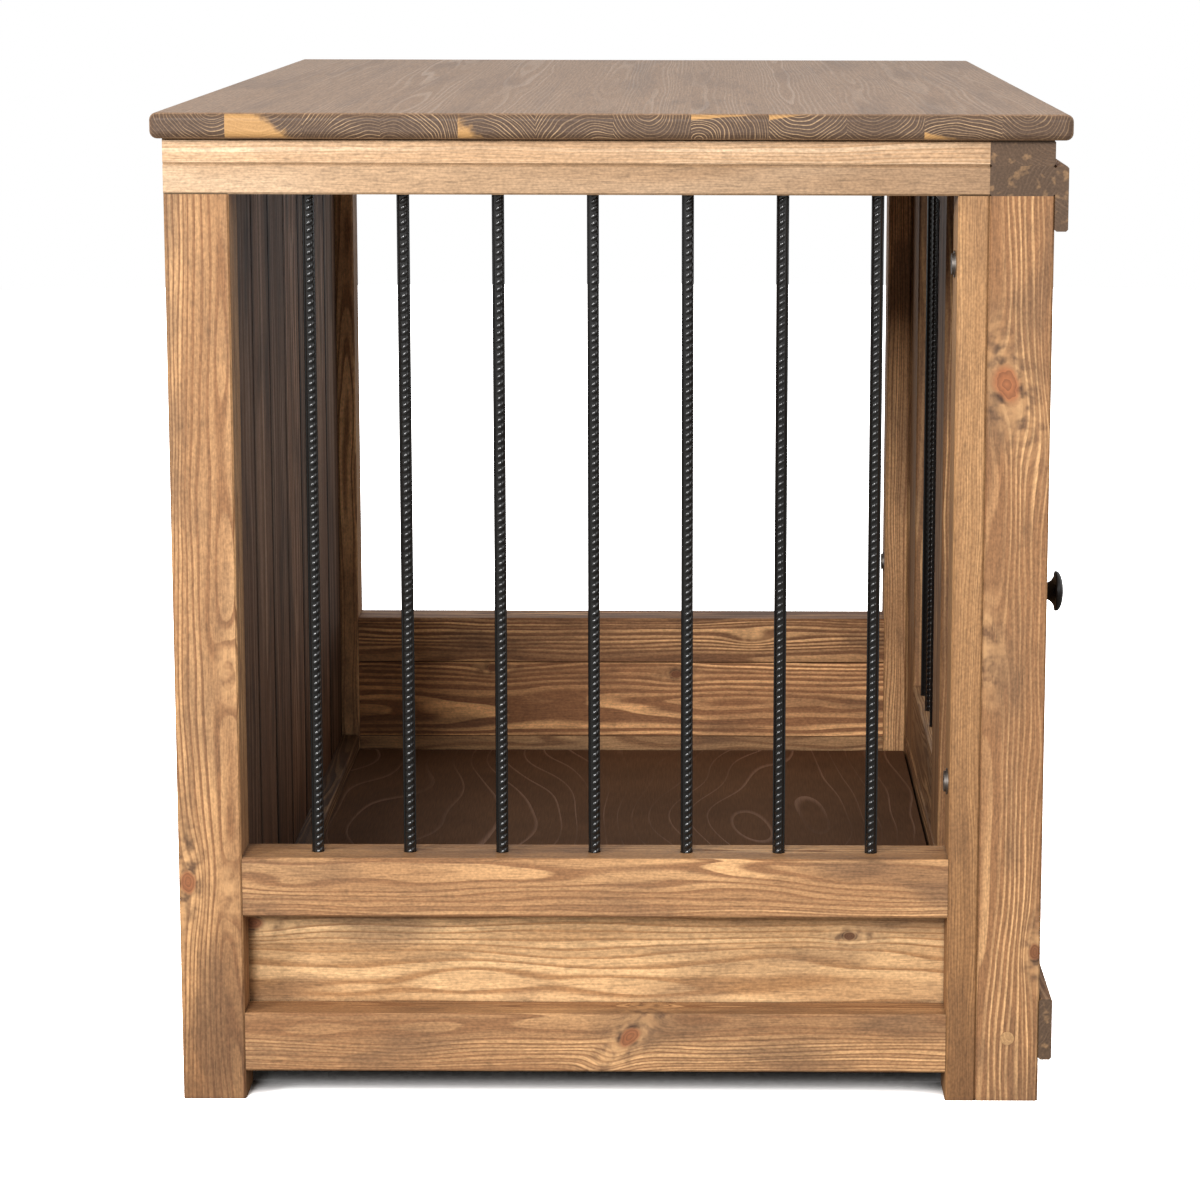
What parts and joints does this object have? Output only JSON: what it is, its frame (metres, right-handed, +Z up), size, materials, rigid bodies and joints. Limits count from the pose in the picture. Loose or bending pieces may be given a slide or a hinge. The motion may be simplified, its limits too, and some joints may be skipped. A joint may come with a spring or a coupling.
{
  "type": "pet crate",
  "caption": "Stained pine pet crate with a flat overhanging top, ribbed black steel bars, a boarded back, low end panels and barred sliding front doors.",
  "frame": {"origin": "on the ground under the middle of the bounding box", "axes": "+X towards the door front, +Y along the length from the barred end to the open end, +Z up"},
  "size_m": [0.6844, 1.062, 0.752],
  "materials": {
    "stained_pine": "stained and waxed",
    "stained_top": "dark stain, satin",
    "dark_boards": "dark stain",
    "stained_plywood": "dark stain",
    "black_steel": "black satin",
    "knob_black": "black satin",
    "bolt_steel": "zinc plated"
  },
  "bodies": {
    "crate_frame": {"assembly_bolts": "bolt_steel", "back_board_1": "dark_boards", "back_board_2": "dark_boards", "back_board_3": "dark_boards", "back_board_4": "dark_boards", "back_board_5": "dark_boards", "back_board_6": "dark_boards", "back_board_7": "dark_boards", "back_board_8": "dark_boards", "back_bottom_rail": "stained_pine", "back_leg_far": "stained_pine", "back_leg_near": "stained_pine", "back_top_rail": "stained_pine", "back_upper_lath": "stained_pine", "far_end_bottom_rail": "stained_pine", "far_end_panel": "stained_pine", "far_end_sill": "stained_pine", "far_end_top_rail": "stained_pine", "far_end_upper_lath": "stained_pine", "floor_board": "stained_plywood", "floor_cleat_back": "stained_pine", "floor_cleat_far": "stained_pine", "floor_cleat_front": "stained_pine", "floor_cleat_near": "stained_pine", "front_bottom_fascia": "stained_pine", "front_bottom_rail": "stained_pine", "front_leg_far": "stained_pine", "front_leg_near": "stained_pine", "front_top_fascia": "stained_pine", "front_top_rail": "stained_pine", "front_upper_lath": "stained_pine", "inner_post_far": "stained_pine", "inner_post_near": "stained_pine", "leg_plugs": "stained_pine", "near_end_bar_1": "black_steel", "near_end_bar_2": "black_steel", "near_end_bar_3": "black_steel", "near_end_bar_4": "black_steel", "near_end_bar_5": "black_steel", "near_end_bar_6": "black_steel", "near_end_bar_7": "black_steel", "near_end_bottom_rail": "stained_pine", "near_end_panel": "stained_pine", "near_end_sill": "stained_pine", "near_end_top_rail": "stained_pine", "near_end_upper_lath": "stained_pine", "table_top": "stained_top"},
    "outer_door": {"outer_door_bars": "black_steel", "outer_door_bottom_rail": "stained_pine", "outer_door_far_stile": "stained_pine", "outer_door_knob": "knob_black", "outer_door_near_stile": "stained_pine", "outer_door_top_rail": "stained_pine"},
    "inner_door": {"inner_door_bars": "black_steel", "inner_door_bottom_rail": "stained_pine", "inner_door_far_stile": "stained_pine", "inner_door_near_stile": "stained_pine", "inner_door_top_rail": "stained_pine"}
  },
  "joints": [
    {"name": "outer_door_slide", "type": "slide", "parent": "crate_frame", "child": "outer_door", "axis": [0, 1, 0], "range_m": [0, 0.442]},
    {"name": "inner_door_slide", "type": "slide", "parent": "crate_frame", "child": "inner_door", "axis": [0, 1, 0], "range_m": [-0.442, 0]}
  ]
}
